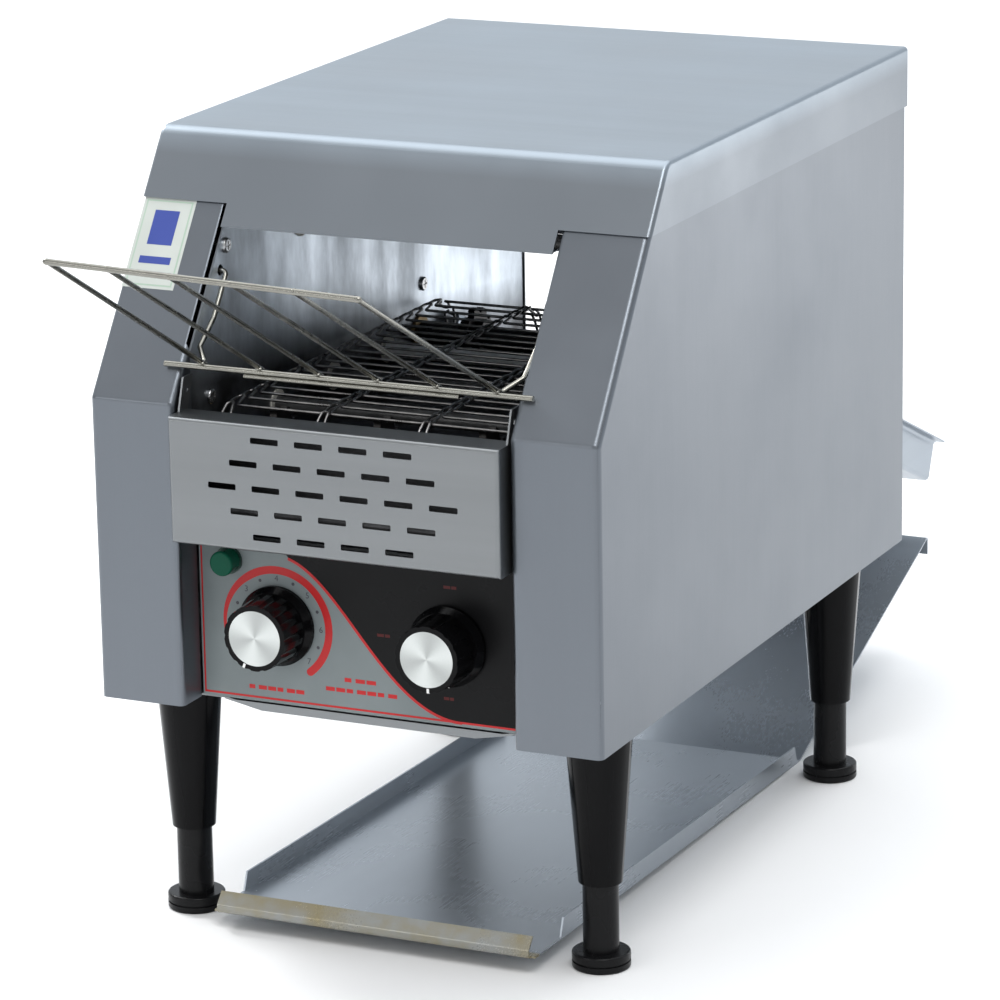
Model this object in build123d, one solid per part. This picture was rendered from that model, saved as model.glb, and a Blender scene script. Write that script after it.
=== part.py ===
from build123d import *

import os
from math import atan2, cos, degrees, hypot, pi, sin, tan

# Small electric conveyor toaster: bread slides down a wire rack onto a wire belt, rides
# between two rows of heaters, drops off the rear of the belt onto a chute, and comes
# forward on a sheet tray under the machine.
# Millimetres.  +X is the right-hand side seen from the front, +Y is to the rear, +Z up.
# Everything is drawn with Y = 0 at the front face of the body; place() then moves it so
# that the origin is at the bottom centre of the whole object.

# ---- body ----
HALF_WIDTH = 144.0          # outer face of a side panel
DEPTH = 436.0               # front face to rear face
BASE_Z = 131.0              # underside of the side panels
KINK_Z = 294.0              # where the upright front turns into the sloping front
SLOPE_END_Y = 90.0          # where the sloping front meets the top
TOP_Z = 421.0               # upper face of the top cover
SHEET = 1.0                 # thickness of the stainless sheet
OPENING_HALF = 95.0         # inner edge of the two front columns
COLUMN_RETURN = 20.0        # how deep a column's inner edge is folded back
BEND = 3.5                  # outside radius of the folded edges
KINK_BEND = 3.5             # outside radius where the front starts to slope

PAN_Z = 125.3               # underside of the base pan

# ---- top cover ----
LIP_Z = 387.0               # lower edge of the cover's lips and of its sloping front
TONGUE_Z = 376.0            # lower edge of the centre part, over the opening
COVER_BEND = 9.0            # outside radius between the sloping front and the top
COVER_FOLD = 2.5            # outside radius of the folds above the side lips
COVER_SCREWS_X = (-60.0, 60.0)
COVER_SCREWS_Z = 400.0

# ---- front cover, control panel ----
COVER_HALF = 93.5
COVER_BOTTOM = 223.0
COVER_TOP = 290.0
COVER_FRONT_Y = -9.5
COVER_REAR_Y = 10.0
FACE_BEND = 2.2             # outside radius of the front cover's folds
SLOT_LENGTH = 15.9
SLOT_HEIGHT = 3.2
SLOT_PITCH_X = 25.1
SLOT_ROW_PITCH = 12.8
SLOT_ROWS = (4, 5, 6, 5, 4)
PANEL_Y = 22.0
PANEL_BOTTOM = 131.0
LABEL_BOTTOM = 132.0
PANEL_TOP = 221.0
KNOB_X = 49.2
KNOB_Z = 174.8
KNOB_HEIGHT = 26.0
KNOB_BACK_Y = PANEL_Y - 0.9
SKIRT_D = 43.0
CAP_D = 29.6
LAMP_X = -76.5
LAMP_Z = 207.5
LAMP_D = 13.4
LAMP_FRONT_Y = 11.5
SPINDLE_D = 6.0
BUSH_D = 9.0                # threaded bush of a control, through the panel

# ---- belt and drive ----
BELT_HALF = 88.0
BELT_Z = 266.8              # height of both shafts
FRONT_SHAFT_Y = 50.0
REAR_SHAFT_Y = 292.0
BELT_RADIUS = 19.0          # shaft centre to wire centre
WIRE = 1.6
RAIL = 1.1                  # thickness of the rails that join the strands
STRANDS = 48
SHAFT_D = 12.0
SHAFT_FIT = 0.1             # on the diameter
SPROCKET_RADIUS = 17.6
DRIVEN_RADIUS = 24.0
MOTOR_SPROCKET_RADIUS = 13.7
DRIVEN_TEETH = 21
MOTOR_TEETH = 12
CHAIN_X = 111.0
MOTOR_Y = 300.0
MOTOR_Z = 165.0

# ---- heaters ----
TUBE_D = 9.0
UPPER_TUBES_Y = (150.0, 215.0, 280.0)
UPPER_TUBES_Z = 360.0
LOWER_TUBES_Y = (117.0, 184.0, 251.0)

# ---- loading rack ----
RACK_PIVOT = (58.0, 352.6)  # Y and Z of the hooks
RACK_BAR = (10.2, 312.9)    # Y and Z of the lower bar
RACK_TOP = (-140.0, 397.2)  # Y and Z of the middle of the outer bar
RACK_TWIST = 2.5            # how much higher the outer bar's left end is than its middle
RACK_ROD_PITCH = 33.4
RACK_ROD_D = 2.6
RACK_BAR_D = 3.2
HOOK_D = 2.8
HOOK_HOLE_D = 6.0

# ---- exit chute ----
CHUTE_START = (316.0, 248.1)
CHUTE_END = (638.0, 110.0)
CHUTE_HALF = 87.0
CHUTE_WALL = 25.0
CHUTE_FLANGE = 7.5

# ---- toast tray ----
TRAY_HALF = 94.0
TRAY_FRONT = (22.0, 9.5)
TRAY_BEND = (400.0, 1.0)    # upper face of the sheet at the bend, which rests on the table
TRAY_CREST = (605.0, 74.0)
TRAY_LIP = 10.5             # height of the tray's lips over its underside
TRAY_LIP_ENDS = (57.0, 396.0)
TRAY_NOTCH = 2.8            # the front lip stops this far short of each side

# ---- legs ----
LEG_X = 119.5
LEG_YS = (51.5, 382.5)
LEG_BOTTOM = 47.0
FOOT_STEM_D = 19.0
FOOT_DISC_D = 31.0
FOOT_DISC_H = 9.0

SLOPE = atan2(TOP_Z - KINK_Z, SLOPE_END_Y)      # angle of the sloping front above level
CHUTE_ANGLE = atan2(CHUTE_START[1] - CHUTE_END[1], CHUTE_END[0] - CHUTE_START[0])
REAR_Y = CHUTE_END[0] + (CHUTE_WALL + SHEET / 2) * sin(CHUTE_ANGLE)
Y_CENTRE = (REAR_Y + RACK_TOP[0] - RACK_BAR_D / 2) / 2
WALL_X = OPENING_HALF + SHEET                   # inner face of an inner wall

os.makedirs("parts", exist_ok=True)


def place(name, *solids):
    """Write one node: its solids, moved to the object's own origin."""
    shift = Pos(0, -Y_CENTRE, 0)
    moved = [shift * s for item in solids for s in item.solids()]
    shape = moved[0] if len(moved) == 1 else Compound(children=moved)
    shape.label = name
    export_step(shape, f"parts/{name}.step")


def box(x0, x1, y0, y1, z0, z1):
    """A block between two corners."""
    middle = Pos((x0 + x1) / 2, (y0 + y1) / 2, (z0 + z1) / 2)
    return middle * Box(x1 - x0, y1 - y0, z1 - z0)


def rod_x(d, x0, x1, y, z):
    """A round bar along X."""
    return Pos((x0 + x1) / 2, y, z) * Rot(0, 90, 0) * Cylinder(d / 2, x1 - x0)


def rod_y(d, y0, y1, x, z):
    """A round bar along Y."""
    return Pos(x, (y0 + y1) / 2, z) * Rot(90, 0, 0) * Cylinder(d / 2, y1 - y0)


def rod_z(d, z0, z1, x, y):
    """An upright round bar."""
    return Pos(x, y, (z0 + z1) / 2) * Cylinder(d / 2, z1 - z0)


def prism_x(points, x0, x1):
    """A Y-Z outline made into a solid between two X planes."""
    face = Plane.YZ * make_face(Polyline(*points, close=True))
    return Pos(x0, 0, 0) * extrude(face, x1 - x0)


def bent_sheet(points, x0, x1, bend=3.0, thick=SHEET):
    """A sheet folded about X: its middle line in Y-Z, rounded at each fold."""
    strip = Plane.YZ * trace(FilletPolyline(*points, radius=bend), thick)
    return Pos(x0, 0, 0) * extrude(strip, x1 - x0)


def mirrored(shape):
    """The same piece on the other side of the machine."""
    return mirror(shape, Plane.YZ)


def rod_between(d, start, end):
    """A round bar between two points."""
    run = Vector(*end) - Vector(*start)
    return extrude(Plane(start, z_dir=run) * Circle(d / 2), run.length)


def bent_wire(d, points):
    """Round wire along straight runs, with a ball at each bend and at both ends."""
    runs = [rod_between(d, a, b) for a, b in zip(points, points[1:])]
    return runs + [Pos(*p) * Sphere(d / 2) for p in points]


def front_y(z, inset=0.0):
    """Y of the body's front at a height, or of a line a distance inside it."""
    return max(inset, (z - KINK_Z) / tan(SLOPE) + inset / sin(SLOPE))


# ------------------------------------------------------------------ body shell
def body_outline(inset, rear):
    """Side view of the body, drawn in by a distance at the front, top and bottom."""
    z_top = TOP_Z - SHEET - inset
    z_kink = KINK_Z - inset * (1 - sin(SLOPE)) / cos(SLOPE)
    return [(inset, BASE_Z + inset), (rear, BASE_Z + inset), (rear, z_top),
            (front_y(z_top, inset), z_top), (inset, z_kink)]


def body_block(inset, rear, x0, x1):
    """A slice of the body's solid outline, rounded where its front is folded."""
    block = prism_x(body_outline(inset, rear), x0, x1)
    z_top = TOP_Z - SHEET - inset
    for y, z, radius in ((front_y(z_top, inset), z_top, COVER_BEND), (inset, KINK_Z, KINK_BEND)):
        folds = block.edges().filter_by(Axis.X)
        fold = folds.sort_by(lambda e: hypot(e.center().Y - y, e.center().Z - z))[0]
        block = fillet(fold, radius - inset)
    return block


def side_panel():
    """Right side: outer wall, front column with its folded return, and folded edges."""
    outer = body_block(0, DEPTH - SHEET, OPENING_HALF, HALF_WIDTH)
    front = outer.edges().filter_by(lambda e: e.center().Y < SLOPE_END_Y - 1)
    front = front.filter_by(lambda e: abs(e.tangent_at(0.5).X) < 0.01)
    front = front.filter_by(lambda e: abs(e.tangent_at(0.5).Y) < 0.9)
    outer = fillet(front, BEND)
    inner = body_block(SHEET, DEPTH, OPENING_HALF + SHEET, HALF_WIDTH - SHEET)
    panel = outer - inner
    hollow = Pos(0, COLUMN_RETURN, 0)
    panel -= hollow * prism_x(body_outline(0, DEPTH), OPENING_HALF - 1, WALL_X)
    panel -= box(OPENING_HALF, WALL_X + 1, COLUMN_RETURN, DEPTH, BASE_Z - 1, TOP_Z)
    panel -= box(OPENING_HALF, HALF_WIDTH - 14, 130, DEPTH, TOP_Z - 10, TOP_Z)
    for y in LEG_YS:
        panel -= rod_z(8, BASE_Z - 1, BASE_Z + 2, LEG_X, y)
    panel -= rod_x(HOOK_HOLE_D, OPENING_HALF - 1, WALL_X + 1, *RACK_PIVOT)
    return panel


def inner_wall(side):
    """Chamber wall beside one column; side is +1 on the right."""
    x0, x1 = WALL_X, WALL_X + SHEET
    front = 6.0
    z_top = TOP_Z - 2 * SHEET
    wall = prism_x([(front, BASE_Z + SHEET), (DEPTH - 2, BASE_Z + SHEET), (DEPTH - 2, z_top),
                    (front_y(z_top) + front, z_top), (front, KINK_Z)], x0, x1)
    wall += box(x0, x0 + 14, DEPTH - 3, DEPTH - 2, BASE_Z + 14, z_top)
    wall += box(x0, x0 + 12, 130, DEPTH - 2, z_top - SHEET, z_top)
    for y in (FRONT_SHAFT_Y, REAR_SHAFT_Y):
        wall -= rod_x(20, x0 - 1, x1 + 1, y, BELT_Z)
    for y in LOWER_TUBES_Y:
        wall -= rod_x(16, x0 - 1, x1 + 1, y, BELT_Z)
    for y in UPPER_TUBES_Y:
        wall -= rod_x(16, x0 - 1, x1 + 1, y, UPPER_TUBES_Z)
    wall -= rod_x(HOOK_HOLE_D, x0 - 1, x1 + 1, *RACK_PIVOT)
    for y, z in WALL_SCREWS:
        wall -= rod_x(4, x0 - 1, x1 + 1, y, z)
    if side > 0:
        wall -= rod_x(14, x0 - 1, x1 + 1, MOTOR_Y, MOTOR_Z)
        return wall
    return mirrored(wall)


WALL_SCREWS = ((298.0, 294.0), (64.5, 364.6), (42.6, 288.5))


def cover_block(inset, half, z_low):
    """Solid under a line a distance inside the body's skin, rounded at the front edge."""
    z_top = TOP_Z - SHEET - inset
    rear = DEPTH - inset
    knee = front_y(z_top, inset)
    block = prism_x([(front_y(z_low, inset), z_low), (knee, z_top), (rear, z_top), (rear, z_low)],
                    -half, half)
    edges = block.edges().filter_by(Axis.X)
    edge = edges.sort_by(lambda e: hypot(e.center().Y - knee, e.center().Z - z_top))[0]
    block = fillet(edge, COVER_BEND - SHEET - inset)
    sides = block.edges().filter_by(lambda e: abs(abs(e.center().X) - half) < 0.01)
    sides = sides.filter_by(lambda e: e.center().Z > z_low + 1 and e.center().Y < rear - 1)
    return fillet(sides, COVER_FOLD - SHEET - inset)


def top_cover():
    """Top sheet with a sloping front, lips all round and a lower centre tongue."""
    half = HALF_WIDTH + SHEET
    cover = cover_block(-SHEET, half, LIP_Z) - cover_block(0, HALF_WIDTH, LIP_Z - 1)
    tongue = [(front_y(z, inset), z) for z, inset in (
        (TONGUE_Z, -SHEET), (LIP_Z + 2, -SHEET), (LIP_Z + 2, 0), (TONGUE_Z, 0))]
    cover += prism_x(tongue, -OPENING_HALF + 0.5, OPENING_HALF - 0.5)
    # The tongue's lower edge is folded back into the machine to stiffen it.
    y = front_y(TONGUE_Z, -SHEET)
    fold = OPENING_HALF - 1.5
    cover += box(-fold, fold, y + 0.6, y + 10, TONGUE_Z, TONGUE_Z + SHEET)
    for x in COVER_SCREWS_X:
        cover -= rod_y(4, DEPTH - 1, DEPTH + 2, x, COVER_SCREWS_Z)
    return cover


def base_pan():
    """Shallow pan with sloping sides that closes the base compartment."""
    top, low = 84.0, 62.0
    z_low = PAN_Z
    t = SHEET
    line = [(-100, BASE_Z - t / 2), (-top, BASE_Z - t / 2), (-low, z_low + t / 2),
            (low, z_low + t / 2), (top, BASE_Z - t / 2), (100, BASE_Z - t / 2)]
    strip = Plane.XZ * trace(FilletPolyline(*line, radius=3.0), t)
    y0, y1 = PANEL_Y + 3, DEPTH - 3
    pan = Pos(0, y1, 0) * extrude(strip, y1 - y0)
    outline = [(-top, BASE_Z - 1.4), (-low, z_low), (low, z_low), (top, BASE_Z - 1.4)]
    for y in (y0, y1 - t):
        end = Plane.XZ * make_face(Polyline(*outline, close=True))
        pan += Pos(0, y + t, 0) * extrude(end, t)
    vents = [box(-34 + 12 * i, -28 + 12 * i, 60, 120, z_low - 1, z_low + 2) for i in range(6)]
    return pan - vents


def rear_panel():
    """Back sheet with the exit window, a fan grille and the cable entry."""
    y0, y1 = DEPTH - SHEET, DEPTH
    panel = box(-HALF_WIDTH + SHEET, HALF_WIDTH - SHEET, y0, y1, BASE_Z + SHEET, TOP_Z - 2 * SHEET)
    panel -= box(-OPENING_HALF, OPENING_HALF, y0 - 1, y1 + 1, 189, 300)
    for i in range(5):
        width = 2 * (21 ** 2 - (8 * (i - 2)) ** 2) ** 0.5
        slot = Rot(90, 0, 0) * extrude(SlotOverall(width, 4), 4, both=True)
        panel -= Pos(FAN_X, y0, FAN_Z + 8 * (i - 2)) * slot
    for i in range(7):
        for side in (-1, 1):
            slot = Rot(90, 0, 0) * extrude(SlotOverall(26, 3), 4, both=True)
            panel -= Pos(side * 119, y0, 330 + 9 * i) * slot
    panel -= rod_y(16, y0 - 1, y1 + 1, GLAND_X, GLAND_Z)
    for x, z in [*REAR_SCREWS, *((x, COVER_SCREWS_Z) for x in COVER_SCREWS_X)]:
        panel -= rod_y(4, y0 - 1, y1 + 1, x, z)
    return panel


FAN_X, FAN_Z, FAN_SIZE, FAN_DEPTH = -50.0, 160.0, 50.0, 15.0
GLAND_X, GLAND_Z = 125.0, 190.0
REAR_SCREWS = ((-128.0, 150.0), (128.0, 150.0), (-128.0, 270.0), (128.0, 270.0))


def pan_head(d, axis, x, y, z, shank=6.0):
    """A pan-head screw whose head starts at a point and faces along one axis."""
    head = Cylinder(d, 0.45 * d, align=(Align.CENTER, Align.CENTER, Align.MIN))
    head = fillet(head.edges().sort_by(Axis.Z)[-1], 0.25 * d)
    head -= Pos(0, 0, 0.45 * d) * Box(0.25 * d, 1.2 * d, 0.3 * d)
    head -= Pos(0, 0, 0.45 * d) * Box(1.2 * d, 0.25 * d, 0.3 * d)
    screw = head + Pos(0, 0, -shank / 2) * Cylinder(d / 2, shank)
    turn = {"+x": Rot(0, 90, 0), "-x": Rot(0, -90, 0), "+y": Rot(-90, 0, 0), "-y": Rot(90, 0, 0)}
    return Pos(x, y, z) * turn[axis] * screw


# ------------------------------------------------------------------ front
def front_cover():
    """Slotted pan in front of the belt, folded back into the opening on all sides."""
    block = box(-COVER_HALF, COVER_HALF, COVER_FRONT_Y, COVER_REAR_Y, COVER_BOTTOM, COVER_TOP)
    front = block.faces().sort_by(Axis.Y)[0]
    block = fillet(front.edges(), FACE_BEND)
    t = SHEET
    hollow = box(-COVER_HALF + t, COVER_HALF - t, COVER_FRONT_Y + t, COVER_REAR_Y + 1,
                 COVER_BOTTOM + t, COVER_TOP - t)
    hollow = fillet(hollow.faces().sort_by(Axis.Y)[0].edges(), FACE_BEND - t)
    cover = block - hollow
    middle = (COVER_BOTTOM + COVER_TOP) / 2
    slot = Rot(90, 0, 0) * extrude(RectangleRounded(SLOT_LENGTH, SLOT_HEIGHT, 0.7), 3, both=True)
    for row, count in enumerate(SLOT_ROWS):
        z = middle + (2 - row) * SLOT_ROW_PITCH
        for i in range(count):
            cover -= Pos((i - (count - 1) / 2) * SLOT_PITCH_X, COVER_FRONT_Y, z) * slot
    for side in (-1, 1):
        ear = prism_x([(1, COVER_TOP - 4), (COVER_REAR_Y, COVER_TOP - 4), (COVER_REAR_Y + 8, 307),
                       (8, 307)], 0, t)
        ear -= rod_x(3, -1, 2, 11, 300)
        cover += Pos(side * (COVER_HALF - t / 2) - t / 2, 0, 0) * ear
    return cover


def control_panel():
    """Recessed panel for the controls, folded back at its top and bottom."""
    half = OPENING_HALF - 0.3
    t = SHEET
    line = [(PANEL_Y + 14, PANEL_TOP - t / 2), (PANEL_Y + t / 2, PANEL_TOP - t / 2),
            (PANEL_Y + t / 2, PANEL_BOTTOM + t / 2), (PANEL_Y + 14, PANEL_BOTTOM + t / 2)]
    panel = bent_sheet(line, -half, half, bend=1.5)
    for x in (-KNOB_X, KNOB_X):
        panel -= rod_y(BUSH_D, PANEL_Y - 1, PANEL_Y + 2, x, KNOB_Z)
    panel -= rod_y(LAMP_D - 1, PANEL_Y - 1, PANEL_Y + 2, LAMP_X, LAMP_Z)
    return panel


def control_label():
    """Printed plate stuck to the control panel."""
    y0, y1 = PANEL_Y - 0.5, PANEL_Y
    half = OPENING_HALF - 0.6
    plate = box(-half, half, y0, y1, LABEL_BOTTOM, PANEL_TOP - 1)
    for x in (-KNOB_X, KNOB_X):
        plate -= rod_y(BUSH_D + 2, y0 - 1, y1 + 1, x, KNOB_Z)
    return plate - rod_y(LAMP_D, y0 - 1, y1 + 1, LAMP_X, LAMP_Z)


def knob(x):
    """Fluted knob with a skirt, a recess for its cap, and a bore for the spindle."""
    from_back = Pos(x, KNOB_BACK_Y, KNOB_Z) * Rot(90, 0, 0)
    upright = (Align.CENTER, Align.CENTER, Align.MIN)
    whole = from_back * Cylinder(SKIRT_D / 2, 2.4, align=upright)
    whole += from_back * Pos(0, 0, 2.4) * Cone(SKIRT_D / 2, 19, 3.6, align=upright)
    whole += from_back * Pos(0, 0, 6) * Cone(18.6, 17.6, KNOB_HEIGHT - 6, align=upright)
    flutes = 14
    for i in range(flutes):
        a = 2 * pi * i / flutes
        flute = Pos(20.3 * cos(a), 20.3 * sin(a), 6.5) * Cylinder(3.2, KNOB_HEIGHT, align=upright)
        whole -= from_back * flute
    whole -= from_back * Pos(0, 0, KNOB_HEIGHT - 1) * Cylinder(CAP_D / 2, 2, align=upright)
    return whole - spindle(x)


def knob_cap(x):
    """Spun metal disc let into the face of a knob."""
    y_face = KNOB_BACK_Y - KNOB_HEIGHT
    return rod_y(CAP_D, y_face, y_face + 1, x, KNOB_Z)


def spindle(x):
    """Control spindle between the knob and the component behind the panel."""
    return rod_y(SPINDLE_D, KNOB_BACK_Y - 16, PANEL_Y + 9, x, KNOB_Z)


def control_body(x, d, length):
    """Body of a rotary control, with the threaded bush that the panel is clamped on."""
    y0 = PANEL_Y + SHEET
    body = rod_y(d, y0 + 2, y0 + length, x, KNOB_Z)
    body += rod_y(BUSH_D, y0 - 1.6, y0 + 2, x, KNOB_Z)
    body += Pos(x, y0 + 1, KNOB_Z) * Rot(90, 0, 0) * extrude(RegularPolygon(7, 6), 1, both=True)
    body -= rod_y(SPINDLE_D + SHAFT_FIT, y0 - 3, y0 + 8.1, x, KNOB_Z)
    terminals = [box(x - 8 + 7 * i, x - 5 + 7 * i, y0 + length, y0 + length + 7, KNOB_Z - 12,
                     KNOB_Z - 11) for i in range(3)]
    return body + terminals


def pilot_lamp():
    """Lamp ring and body behind it, and the coloured lens."""
    y0 = PANEL_Y - 0.5
    body = rod_y(LAMP_D + 1.6, y0 - 1.5, y0, LAMP_X, LAMP_Z)
    body += rod_y(LAMP_D - 1, y0, PANEL_Y + 24, LAMP_X, LAMP_Z)
    body -= rod_y(LAMP_D, y0 - 8, y0 - 0.7, LAMP_X, LAMP_Z)
    body += [box(LAMP_X - 4 + 6 * i, LAMP_X - 2 + 6 * i, PANEL_Y + 24, PANEL_Y + 31,
                 LAMP_Z - 2, LAMP_Z + 2) for i in range(2)]
    lens = rod_y(LAMP_D, LAMP_FRONT_Y, y0 - 0.7, LAMP_X, LAMP_Z)
    lens = fillet(lens.edges().sort_by(Axis.Y)[0], 1.2)
    return body, lens


# ------------------------------------------------------------------ belt and drive
def loop_point(s):
    """Y, Z of the belt's wire line at a distance along the loop."""
    straight = REAR_SHAFT_Y - FRONT_SHAFT_Y
    arc = pi * BELT_RADIUS
    if s < straight:
        return FRONT_SHAFT_Y + s, BELT_Z + BELT_RADIUS
    s -= straight
    if s < arc:
        a = pi / 2 - s / BELT_RADIUS
        return REAR_SHAFT_Y + BELT_RADIUS * cos(a), BELT_Z + BELT_RADIUS * sin(a)
    s -= arc
    if s < straight:
        return REAR_SHAFT_Y - s, BELT_Z - BELT_RADIUS
    a = -pi / 2 - (s - straight) / BELT_RADIUS
    return FRONT_SHAFT_Y + BELT_RADIUS * cos(a), BELT_Z + BELT_RADIUS * sin(a)


def conveyor_belt():
    """Wire belt: cross strands joined by four wire rails into an endless ladder."""
    centre_y = (FRONT_SHAFT_Y + REAR_SHAFT_Y) / 2
    straight = REAR_SHAFT_Y - FRONT_SHAFT_Y
    track = SlotCenterToCenter(straight, 2 * BELT_RADIUS + RAIL)
    track -= SlotCenterToCenter(straight, 2 * BELT_RADIUS - RAIL)
    rail = extrude(Plane.YZ * track, WIRE)
    rails = [Pos(x - WIRE / 2, centre_y, BELT_Z) * rail
             for x in (-BELT_HALF + 1, -BELT_HALF / 3, BELT_HALF / 3, BELT_HALF - 1)]
    length = 2 * straight + 2 * pi * BELT_RADIUS
    strands = []
    for i in range(STRANDS):
        y, z = loop_point(length * (i + 0.5) / STRANDS)
        strands.append(rod_x(WIRE, -BELT_HALF, BELT_HALF, y, z))
    return rails[0].fuse(*rails[1:], *strands)


def toothed_disc(radius, teeth, width, bore):
    """A chain wheel about X at the origin: a disc with round tooth gaps."""
    gap = pi * radius / teeth * 0.52
    face = Circle(radius)
    for i in range(teeth):
        a = 2 * pi * i / teeth
        face -= Pos(radius * cos(a), radius * sin(a)) * Circle(gap)
    face -= Circle(bore / 2)
    return Pos(-width / 2, 0, 0) * extrude(Plane.YZ * face, width)


def belt_sprockets(y):
    """Three wheels with hubs that carry the belt on one shaft."""
    wheels = []
    for x in (-60.0, 0.0, 60.0):
        wheel = toothed_disc(SPROCKET_RADIUS, 9, 4, SHAFT_D)
        hub = rod_x(22, -7, 7, 0, 0) - rod_x(SHAFT_D, -8, 8, 0, 0)
        wheels.append(Pos(x, y, BELT_Z) * (wheel + hub))
    return wheels


def bearings():
    """Flanged plain bearings in the inner walls, one at each end of both shafts."""
    bush = rod_x(20, WALL_X - 2, WALL_X + 7, 0, 0) + rod_x(28, WALL_X + SHEET, WALL_X + 4, 0, 0)
    bush -= rod_x(SHAFT_D + SHAFT_FIT, WALL_X - 3, WALL_X + 8, 0, 0)
    out = []
    for y in (FRONT_SHAFT_Y, REAR_SHAFT_Y):
        one = Pos(0, y, BELT_Z) * bush
        out += [one, mirrored(one)]
    return out


def two_wheel_band(r_big, r_small, width):
    """A band of plain section around the driven wheel and the motor wheel."""
    def hull(extra):
        arcs = [Pos(REAR_SHAFT_Y, BELT_Z) * CenterArc((0, 0), r_big + extra, 0, 360),
                Pos(MOTOR_Y, MOTOR_Z) * CenterArc((0, 0), r_small + extra, 0, 360)]
        return make_hull([e for a in arcs for e in a.edges()])
    ring = hull(5.0) - hull(0.4)
    return Pos(CHAIN_X - width / 2, 0, 0) * extrude(Plane.YZ * ring, width)


def chain_wheel(radius, teeth, bore, y, z):
    """A chain wheel with a hub, on the chain's plane."""
    wheel = toothed_disc(radius, teeth, 4, bore)
    hub = rod_x(bore + 10, -7.5, 0, 0, 0) - rod_x(bore, -9, 1, 0, 0)
    return Pos(CHAIN_X, y, z) * (wheel + hub)


def gear_motor():
    """Small motor with a square gearbox, output towards the right side."""
    x_face = 86.0
    gearbox = box(x_face - 42, x_face, MOTOR_Y - 34, MOTOR_Y + 34, MOTOR_Z - 30, MOTOR_Z + 30)
    gearbox = fillet(gearbox.edges().filter_by(Axis.X), 5)
    can = rod_x(50, x_face - 108, x_face - 42, MOTOR_Y, MOTOR_Z)
    can = fillet(can.edges().sort_by(Axis.X)[0], 4)
    tail = rod_x(18, x_face - 114, x_face - 108, MOTOR_Y, MOTOR_Z)
    body = gearbox + can + tail
    return body - rod_x(10 + SHAFT_FIT, x_face - 20, x_face + 1, MOTOR_Y, MOTOR_Z)


def motor_bracket():
    """Plate that hangs the gear motor from the right inner wall."""
    y0, y1 = MOTOR_Y - 42, MOTOR_Y + 42
    z0, z1 = MOTOR_Z - 31, MOTOR_Z + 33
    plate = box(86, 88, y0, y1, z0, z1)
    plate += box(86, WALL_X, y0, y0 + 2, z0, z1)
    plate += box(86, WALL_X, y1 - 2, y1, z0, z1)
    plate += box(94, WALL_X, y0 - 12, y0, z0, z1)
    plate += box(94, WALL_X, y1, y1 + 12, z0, z1)
    return plate - rod_x(14, 85, 89, MOTOR_Y, MOTOR_Z)


# ------------------------------------------------------------------ heaters
def heater_tubes(ys, z):
    """Heater tubes along X with a connection pin at each end."""
    return [rod_x(TUBE_D, -112, 112, y, z) + rod_x(3, -120, 120, y, z) for y in ys]


def tube_holders():
    """Ceramic bushes that hold each tube in the inner walls."""
    bush = rod_x(16, WALL_X - 1, WALL_X + 9, 0, 0) + rod_x(23, WALL_X + SHEET, WALL_X + 9, 0, 0)
    bush -= rod_x(TUBE_D, WALL_X - 2, WALL_X + 10, 0, 0)
    places = [(y, BELT_Z) for y in LOWER_TUBES_Y] + [(y, UPPER_TUBES_Z) for y in UPPER_TUBES_Y]
    out = []
    for y, z in places:
        one = Pos(0, y, z) * bush
        out += [one, mirrored(one)]
    return out


def upper_reflector():
    """Sheet over the upper heaters, folded down in front of and behind them."""
    line = [(112, 374), (118, 382), (312, 382), (318, 366)]
    return bent_sheet(line, -WALL_X, WALL_X, bend=2.5)


def lower_reflector():
    """Sheet between the runs of the belt, under the lower heaters."""
    line = [(98, 263), (102, 256.5), (262, 256.5), (266, 263)]
    return bent_sheet(line, -WALL_X, WALL_X, bend=2.0)


def chamber_floor():
    """Sheet under the belt, standing up in front of it behind the slotted cover."""
    y0 = COLUMN_RETURN + 1.5
    line = [(y0, 283), (y0, 234), (y0 + 12, 227), (345, 227), (432, 191)]
    return bent_sheet(line, -WALL_X, WALL_X, bend=4.0)


# ------------------------------------------------------------------ chute, tray
def exit_chute():
    """Sloping channel that carries the toast out of the rear."""
    length = hypot(CHUTE_END[0] - CHUTE_START[0], CHUTE_START[1] - CHUTE_END[1])
    t = SHEET
    half, wall, flange = CHUTE_HALF - t / 2, CHUTE_WALL, CHUTE_FLANGE
    line = [(-half - flange, wall), (-half, wall), (-half, 0), (half, 0), (half, wall),
            (half + flange, wall)]
    strip = trace(FilletPolyline(*line, radius=2.5), t)
    channel = extrude(Plane.XZ * strip, -length)
    channel = Rot(-degrees(CHUTE_ANGLE), 0, 0) * channel
    return Pos(0, CHUTE_START[0], CHUTE_START[1]) * channel


def chute_brackets():
    """Small angles between the chute's sides and the inner walls."""
    out = []
    for y in (345.0, 410.0):
        z = CHUTE_START[1] - (y - CHUTE_START[0]) * tan(CHUTE_ANGLE) + 8
        angle = box(CHUTE_HALF, CHUTE_HALF + 1, y - 6, y + 6, z - 5, z + 7)
        angle += box(CHUTE_HALF, WALL_X, y - 6, y + 6, z - 5, z - 4)
        angle += box(WALL_X - 1, WALL_X, y - 6, y + 6, z - 5, z + 7)
        out += [angle, mirrored(angle)]
    return out


def tray_z(y):
    """Height of the middle of the tray's sheet, which falls towards the rear bend."""
    (y0, z0), (y1, z1) = TRAY_FRONT, TRAY_BEND
    share = (y - y0) / (y1 - y0)
    return z0 + SHEET / 2 + share * (z1 - z0 - SHEET)


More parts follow.
